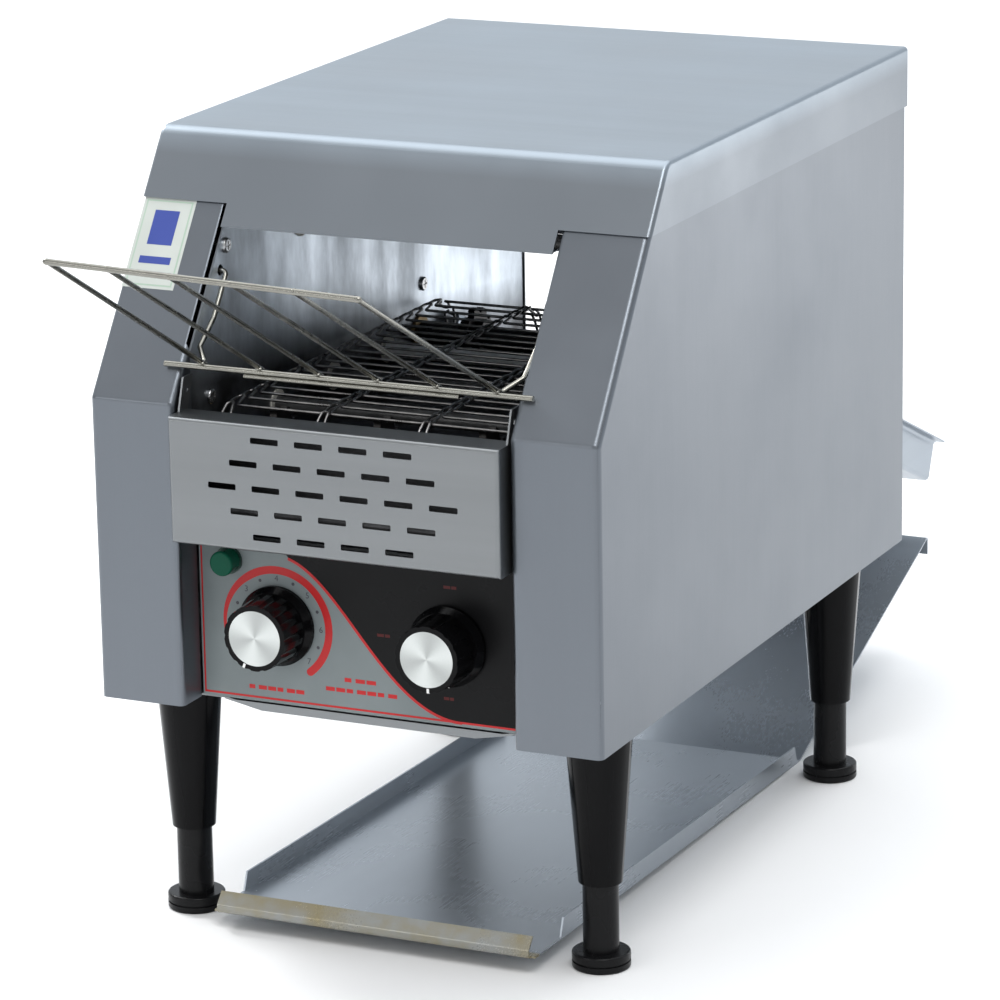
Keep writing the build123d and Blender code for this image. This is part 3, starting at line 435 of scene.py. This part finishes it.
def dress(node, mat):
    """Give a CAD node one material."""
    obj = NODES[node]
    obj.data.materials.clear()
    obj.data.materials.append(mat)


for key, nodes in FINISHES.items():
    for node in nodes:
        dress(node, MATERIALS[key])
for knob in ("speed_knob", "selector_knob"):
    cap = f"{knob}_cap"
    dress(cap, spun_metal(f"spun_{knob}", (0.50, 0.52, 0.51), middle(cap)))


# ------------------------------------------------------------------ studio
def camera(azimuth, elevation, roll, distance, aim, lens):
    """Camera that looks at a point from an angle; azimuth 0 looks along +Y."""
    az, el, ro = (math.radians(a) for a in (azimuth, elevation, roll))
    back = Vector((math.sin(az) * math.cos(el), -math.cos(az) * math.cos(el), math.sin(el)))
    right = (-back).cross(Vector((0, 0, 1))).normalized()
    up = right.cross(-back)
    tilted = right * math.cos(ro) + up * math.sin(ro)
    up = up * math.cos(ro) - right * math.sin(ro)
    data = bpy.data.cameras.new("camera")
    data.lens = lens
    data.sensor_width = 36.0
    data.clip_end = 100.0
    obj = link(bpy.data.objects.new("camera", data))
    turn = Matrix((tilted, up, back)).transposed()
    obj.matrix_world = Matrix.Translation(Vector(aim) + back * distance) @ turn.to_4x4()
    bpy.context.scene.camera = obj


def softbox(name, place, target, size, power):
    """Rectangular light aimed at a point."""
    data = bpy.data.lights.new(name, "AREA")
    data.shape = "RECTANGLE"
    data.size, data.size_y = size
    data.energy = power
    obj = link(bpy.data.objects.new(name, data))
    obj.location = place
    aim = Vector(target) - Vector(place)
    obj.rotation_euler = aim.to_track_quat("-Z", "Y").to_euler()


def surroundings():
    """World light that is bright and slightly blue behind the machine, and dim in front of it."""
    front, rear = (0.66, 0.67, 0.68), (0.95, 1.01, 1.07)
    world = bpy.data.worlds.new("studio")
    world.use_nodes = True
    tree = world.node_tree
    direction = add_node(tree, "ShaderNodeTexCoord").outputs["Generated"]
    split = add_node(tree, "ShaderNodeSeparateXYZ", {"Vector": direction})
    inputs = {"Value": split.outputs["Y"], "From Min": -0.5, "From Max": 0.6, "To Min": 0.0,
              "To Max": 1.0}
    share = add_node(tree, "ShaderNodeMapRange", inputs, interpolation_type="SMOOTHSTEP")
    color = color_between(tree, share.outputs["Result"], opaque(front), opaque(rear))
    background = tree.nodes["Background"]
    tree.links.new(color, background.inputs["Color"])
    background.inputs["Strength"].default_value = 1.0
    bpy.context.scene.world = world


def studio():
    """Pale floor, soft surroundings and soft lights."""
    grey, reach = 0.86, 12.0
    f = Finish.new("studio_floor", (grey, grey, grey), roughness=0.7)
    f.tint(f.spread(f.noise(3.0), 0.0, 1.0), (1, 1, 1), grey - 0.01, grey + 0.01)
    corners = [(-reach, -reach, 0), (reach, -reach, 0), (reach, reach, 0), (-reach, reach, 0)]
    floor = mesh_object("studio_floor", corners, [(0, 1, 2, 3)], f.mat)
    surroundings()
    softbox("top_light", (-0.1, 0.8, 2.7), (0, 0.3, 0), (3.2, 3.2), 50)
    softbox("key_light", (-2.1, 0.55, 2.1), (0, 0, 0.1), (0.8, 0.8), 46)
    softbox("front_fill", (0.9, -1.5, 2.9), (0, -0.4, 0), (1.4, 1.4), 40)
    softbox("slope_light", (-1.5, -2.0, 2.6), (0, -0.15, 0.35), (1.2, 1.2), 2.0)
    softbox("front_strip", (-1.3, -2.7, 1.1), (0, 0, 0.3), (0.9, 0.5), 6)
    softbox("rear_right", (0.8, 1.12, 0.2), (0.147, -0.12, 0.35), (0.3, 0.3), 0.9)
    bpy.context.scene.view_settings.view_transform = "Standard"


camera(azimuth=25.07, elevation=15.45, roll=-0.995, distance=2.613,
       aim=(0.0039, -0.0696, 0.2059), lens=172.97)
studio()


# ------------------------------------------------------------------ wire belt
def conveyor_belt():
    """Wire belt of bent strands: each is hooked round the next at its ends and two joints."""
    low, high = span("conveyor_belt")
    front, rear = middle("front_shaft"), middle("drive_shaft")
    wire = 0.8 * MM                             # radius of the wire
    radius = 19.0 * MM                          # of the loop's wire line round each shaft
    half = (high.x - low.x) / 2 - wire
    straight = rear.y - front.y
    arc = math.pi * radius
    length = 2 * (straight + arc)
    strands = 48
    pitch = length / strands

    def place(x, s, n):
        """A point at a distance along the loop and a height over the wire line."""
        s %= length
        r = radius + n
        if s < straight:
            return Vector((x, front.y + s, front.z + r))
        if s < straight + arc:
            a = math.pi / 2 - (s - straight) / radius
            return Vector((x, rear.y + r * math.cos(a), rear.z + r * math.sin(a)))
        if s < 2 * straight + arc:
            return Vector((x, rear.y - (s - straight - arc), front.z - r))
        a = -math.pi / 2 - (s - 2 * straight - arc) / radius
        return Vector((x, front.y + r * math.cos(a), front.z + r * math.sin(a)))

    def hook(x, side):
        """Bend reaching to the next strand: half of a joint, on one side of x."""
        w = side * 2.3 * MM
        return [(x + w, 0, 0), (x + 0.9 * w, 0.55 * pitch, 0.4 * wire),
                (x + 0.8 * w, pitch - wire, 1.2 * wire),
                (x + 0.5 * w, pitch + 1.2 * wire, wire), (x, pitch + 1.9 * wire, 0)]

    # A strand's left end, from its tail round the next strand and back to the straight wire:
    # millimetres in from the edge, distance along the belt, wire radii over the wire line.
    end = [(-half + inset * MM, s, n * wire) for inset, s, n in (
        (3.0, 0.22 * pitch, -0.6), (0.0, 0.4 * pitch, -0.5), (0.0, pitch + 0.6 * wire, 0.0),
        (1.8, pitch + 2.0 * wire, 0.6), (4.0, pitch + wire, 1.0), (5.5, 0.5 * pitch, 0.4),
        (6.5, 0.0, 0.0))]
    strand = list(end)
    for x in (-half / 3, half / 3):
        strand += hook(x, -1) + hook(x, 1)[-2::-1]
    strand += [(-x, s, n) for x, s, n in reversed(end)]

    bend = 1.8 * MM
    paths = []
    for i in range(strands):
        offset = pitch * (i + 0.5)
        paths.append(rounded([place(x, offset + s, n) for x, s, n in strand], bend, 4))
    belt = wire_object("wire_belt", paths, wire, MATERIALS["belt"], sides=8)
    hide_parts("conveyor_belt")
    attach(belt, "machine")


# ------------------------------------------------------------------ loading rack
def loading_rack():
    """Welded wire rack with smooth bends and small welds where wires cross."""
    bar = Vector((0, FRONT_Y + 10.2 * MM, 312.9 * MM))
    top = Vector((0, FRONT_Y - 140.0 * MM, 397.2 * MM))
    pivot = Vector((0, FRONT_Y + 58.0 * MM, 352.6 * MM))
    twist = 2.5 * MM                            # drop of the outer bar's right end
    rod_r, bar_r, hook_r, stop_r = 1.3 * MM, 1.6 * MM, 1.4 * MM, 1.2 * MM
    bar_weld_r, top_weld_r = 1.805 * MM, 1.7575 * MM
    bar_half = 104.3 * MM
    stop_left, stop_right = -57.8 * MM, 63.8 * MM
    arm_x, pin_x = 92.2 * MM, 100.9 * MM
    spacing = 33.4 * MM
    places = [(i - 2.5) * spacing for i in range(6)]
    reach = places[-1]
    slant = (top - bar).normalized()
    over = slant.cross(Vector((1, 0, 0))).normalized()
    lift = over * (bar_r + rod_r - 0.3 * MM)
    low_end = bar + lift - slant * 5 * MM

    def at(x, p):
        return Vector((x, p.y, p.z))

    def on_top(x):
        return Vector((x, top.y, top.z - twist * x / reach))

    mat = MATERIALS["rack"]
    bars = [[at(-bar_half, bar), at(bar_half, bar)], [on_top(-reach), on_top(reach)]]
    stop = bar + Vector((0, -0.8 * MM, -2.5 * MM))
    rods = [[on_top(x), at(x, low_end)] for x in places[1:-1]]
    arms = []
    for side in (-1, 1):
        x = side * arm_x
        corners = [on_top(side * reach), at(side * reach, low_end),
                   Vector((x, FRONT_Y + 26 * MM, 319 * MM)),
                   Vector((x, FRONT_Y + 42 * MM, 331 * MM)),
                   at(x, pivot), at(side * pin_x, pivot)]
        arms.append(rounded(corners, 3.5 * MM))
    parts = [wire_object("bars", bars, bar_r, mat, sides=16),
             wire_object("stop", [[at(stop_left, stop), at(stop_right, stop)]], stop_r, mat),
             wire_object("rods", rods, rod_r, mat),
             wire_object("arms", arms, hook_r, mat)]
    bm = bmesh.new()
    longer = Matrix.Diagonal((1.35, 1.0, 1.0, 1.0))
    for x in places:
        for place, r in ((at(x, bar + lift * 0.55), bar_weld_r), (on_top(x), top_weld_r)):
            bmesh.ops.create_icosphere(bm, subdivisions=2, radius=r,
                                       matrix=Matrix.Translation(place) @ longer)
    welds = bmesh_object("welds", bm, mat)
    shade_smooth(welds.data)
    rack = join("wire_rack", [*parts, welds])
    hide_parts("loading_rack")
    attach(rack, "loading_rack")


# ------------------------------------------------------------------ printed label
def flat_shape(name, outline, level, mat, holes=()):
    """A thin printed shape on the label: an X-Z outline raised a little off the plate."""
    thick = 0.03 * MM
    y0 = LABEL_FACE_Y - level * thick
    y1 = LABEL_FACE_Y - (level + 1) * thick
    bm = bmesh.new()
    edges = []
    for loop in (outline, *holes):
        verts = [bm.verts.new((x, y0, z)) for x, z in loop]
        edges += [bm.edges.new((a, b)) for a, b in zip(verts, verts[1:] + verts[:1])]
    bmesh.ops.triangle_fill(bm, use_beauty=True, use_dissolve=False, edges=edges)
    out = bmesh.ops.extrude_face_region(bm, geom=list(bm.faces))
    for v in out["geom"]:
        if isinstance(v, bmesh.types.BMVert):
            v.co.y = y1
    bmesh.ops.recalc_face_normals(bm, faces=bm.faces)
    piece = bmesh_object(name, bm, mat)
    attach(piece, "machine")


def block(name, x0, x1, z0, z1, level, mat):
    """A rectangle printed on the label."""
    flat_shape(name, [(x0, z0), (x1, z0), (x1, z1), (x0, z1)], level, mat)


def polar(centre, r, a):
    """A point of the label at a distance and an angle in radians from another."""
    x, z = centre
    return x + r * math.cos(a), z + r * math.sin(a)


def circle(centre, r, steps=40):
    """Points of a circle on the label."""
    return [polar(centre, r, 2 * math.pi * i / steps) for i in range(steps)]


def s_curve(shift, steps=36):
    """The line between the silver and black areas, moved sideways by a distance."""
    p = [Vector(v) for v in ((-42.0, 212.2), (-10.0, 202.9), (13.2, 134.5), (56.0, 134.5))]
    out = []
    for i in range(steps + 1):
        t = i / steps
        q = (p[0] * (1 - t) ** 3 + p[1] * 3 * t * (1 - t) ** 2
             + p[2] * 3 * t * t * (1 - t) + p[3] * t ** 3)
        d = ((p[1] - p[0]) * (1 - t) ** 2 + (p[2] - p[1]) * 2 * t * (1 - t)
             + (p[3] - p[2]) * t * t).normalized()
        out.append((q.x + d.y * shift, q.y - d.x * shift))
    return [(x * MM, z * MM) for x, z in out]


def arc_band(centre, r, start, end, thin, thick, grow, steps=72):
    """A ring sector that starts thin and grows to full width, with a rounded far end."""
    cap_steps = 12
    outer, inner = [], []
    for i in range(steps + 1):
        turned = (end - start) * i / steps
        a = math.radians(start + turned)
        width = thin + (thick - thin) * min(1.0, abs(turned) / grow)
        outer.append(polar(centre, r, a))
        inner.append(polar(centre, r - width, a))
    a = math.radians(end)
    tip = polar(centre, r - thick / 2, a)
    cap = [polar(tip, thick / 2, a - math.pi * i / cap_steps) for i in range(1, cap_steps)]
    return outer + cap + inner[::-1]


def dial_digit(text, x, z, size):
    """A number on the dial, as raised print."""
    data = bpy.data.curves.new("digit", "FONT")
    data.body = text
    data.size = size
    data.align_x, data.align_y = "CENTER", "CENTER"
    data.extrude = 0.012 * MM
    mesh = mesh_of(data, MATERIALS["label_grey"])
    upright = Matrix.Rotation(math.radians(90), 4, "X")
    mesh.transform(Matrix.Translation((x, LABEL_FACE_Y - 0.05 * MM, z)) @ upright)
    return link(bpy.data.objects.new(f"dial_{text}", mesh))


def speed_dial():
    """Red arc round the speed knob, with numbers and dots by turns inside it."""
    centre = (SPEED.x, SPEED.z)
    arc_r, dial_r, dot_r, digit_size = 31.9 * MM, 25.2 * MM, 0.9 * MM, 4.6 * MM
    marks, first, step = 13, 225, 22.5          # degrees, clockwise from the lower left
    band = arc_band(centre, arc_r, 192, -52, 1.4 * MM, 4.2 * MM, 70)
    flat_shape("label_red_arc", band, 1, MATERIALS["label_red"])
    digits = []
    for i in range(marks):
        x, z = polar(centre, dial_r, math.radians(first - step * i))
        if i % 2:
            flat_shape(f"dial_dot_{i}", circle((x, z), dot_r, 16), 1, MATERIALS["label_grey"])
        else:
            digits.append(dial_digit(str(i // 2 + 1), x, z, digit_size))
    numbers = join("dial_numbers", digits)
    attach(numbers, "machine")


def dashes(name, x, z, width, height, mat):
    """A row of short dashes where the real label has words, in millimetres."""
    count = max(2, round(width / 6))
    step = width / count
    for i in range(count):
        x0 = x - width / 2 + i * step
        x1 = x0 + step * (0.86 if (i + count) % 3 else 0.62)
        block(f"{name}_{i}", x0 * MM, x1 * MM, (z - height / 2) * MM, (z + height / 2) * MM, 1,
              MATERIALS[mat])


def control_label():
    """Silver and black label with red lines, a dial and plain marks in place of words."""
    left, right, top = LABEL_LOW.x, LABEL_HIGH.x, LABEL_HIGH.z
    red = MATERIALS["label_red"]
    line_z = 134.0 * MM
    curve = s_curve(0)
    black = [*curve, (right, curve[-1][1]), (right, top), (curve[0][0] - 6 * MM, top)]
    hole = circle((SELECTOR.x, SELECTOR.z), 5.5 * MM)
    flat_shape("label_black_area", black, 0, MATERIALS["label_black"], [hole])
    flat_shape("label_red_stripe", curve + s_curve(1.5)[::-1], 1, red)
    side = left + 0.9 * MM
    block("label_red_side", side, side + 0.9 * MM, line_z, top, 1, red)
    block("label_red_foot", side, right, line_z - 0.5 * MM, line_z + 0.6 * MM, 2, red)
    speed_dial()
    dashes("caption_a", -50.5, 139.6, 33, 2.2, "label_red")
    dashes("caption_b", -1.5, 149.5, 19, 2.2, "label_red")
    dashes("caption_c", -1.0, 143.6, 42, 2.2, "label_red")
    dashes("mark_a", 51.5, 206.0, 9, 1.6, "label_dark_red")
    dashes("mark_b", 13.0, 176.0, 9, 1.6, "label_dark_red")
    dashes("mark_c", 49.5, 146.2, 7, 1.6, "label_dark_red")


# ------------------------------------------------------------------ knob marks
def knob_pointer(name, body, angle):
    """White line let into the knob from the edge of its face down to its skirt."""
    centre, face_y = middle(body), span(body)[0].y
    a = math.radians(angle)
    ray = Vector((math.cos(a), 0, math.sin(a)))
    across = Vector((-math.sin(a), 0, math.cos(a)))
    # The knob's side in millimetres: distance from the axis, distance behind the face.
    profile = [(15.2, -0.06), (17.5, -0.06), (17.75, 0.4), (18.75, 19.8), (19.2, 19.95),
               (21.55, 23.5)]
    half_width = 0.7 * MM
    proud = 0.12                                # millimetres out from the knob's side
    verts = []
    for r, depth in profile:
        for side in (-1, 1):
            for out in (0.0, proud):
                on_axis = Vector((centre.x, face_y + (depth - out / 2) * MM, centre.z))
                verts.append(on_axis + ray * (r + out) * MM + across * side * half_width)
    rings = [range(4 * i, 4 * i + 4) for i in range(len(profile))]
    faces = [(near[j], near[k], far[k], far[j]) for near, far in zip(rings, rings[1:])
             for j, k in ((0, 1), (1, 3), (3, 2), (2, 0))]
    faces += [tuple(rings[0][j] for j in (0, 2, 3, 1)), tuple(rings[-1][j] for j in (0, 1, 3, 2))]
    piece = mesh_object(name, verts, faces, MATERIALS["white_mark"])
    bm = bmesh.new()
    bm.from_mesh(piece.data)
    bmesh.ops.recalc_face_normals(bm, faces=bm.faces)
    bm.to_mesh(piece.data)
    bm.free()
    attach(piece, body)


# ------------------------------------------------------------------ sticker
def sticker():
    """Blank inspection sticker on the left column's slope, with plain bands for its print."""
    z_low, z_high = 345.0 * MM, 387.0 * MM
    x_left, x_right = -143.0 * MM, -112.5 * MM
    slope_foot_z = 294.0 * MM                   # where the column starts to lean back
    rise = math.atan2(127.0, 90.0)
    up = Vector((0, math.cos(rise), math.sin(rise)))
    out = Vector((0, -math.sin(rise), math.cos(rise)))
    start = Vector((0, FRONT_Y + (z_low - slope_foot_z) / math.tan(rise), z_low))
    length = (z_high - z_low) / math.sin(rise)
    gap, thick = 0.02 * MM, 0.05 * MM

    def patch(name, inset, s0, s1, level, mat):
        """A thin layer as wide as the sticker less an inset, between two places up the slope."""
        x0, x1 = x_left + inset, x_right - inset
        base = start + out * (gap + thick * level)
        corners = [(x0, s0), (x1, s0), (x1, s1), (x0, s1)]
        verts = [Vector((x, 0, 0)) + base + up * s for x, s in corners]
        verts += [v + out * thick for v in verts]
        faces = [(3, 2, 1, 0), (4, 5, 6, 7), (0, 1, 5, 4), (1, 2, 6, 5), (2, 3, 7, 6), (3, 0, 4, 7)]
        piece = mesh_object(name, verts, faces, MATERIALS[mat])
        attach(piece, "machine")

    edge, inner = 1.6 * MM, 2.4 * MM
    patch("sticker", 0, 0, length, 0, "sticker_paper")
    patch("sticker_field", edge, edge, length - edge, 1, "sticker_green")
    patch("sticker_panel", inner, inner, length - inner, 2, "sticker_paper")
    patch("sticker_band", 8 * MM, length * 0.48, length * 0.86, 3, "sticker_blue")
    patch("sticker_bar", 6 * MM, length * 0.27, length * 0.35, 3, "sticker_blue")


conveyor_belt()
loading_rack()
control_label()
sticker()
knob_pointer("speed_pointer", "speed_knob", 247)
knob_pointer("selector_pointer", "selector_knob", 272)
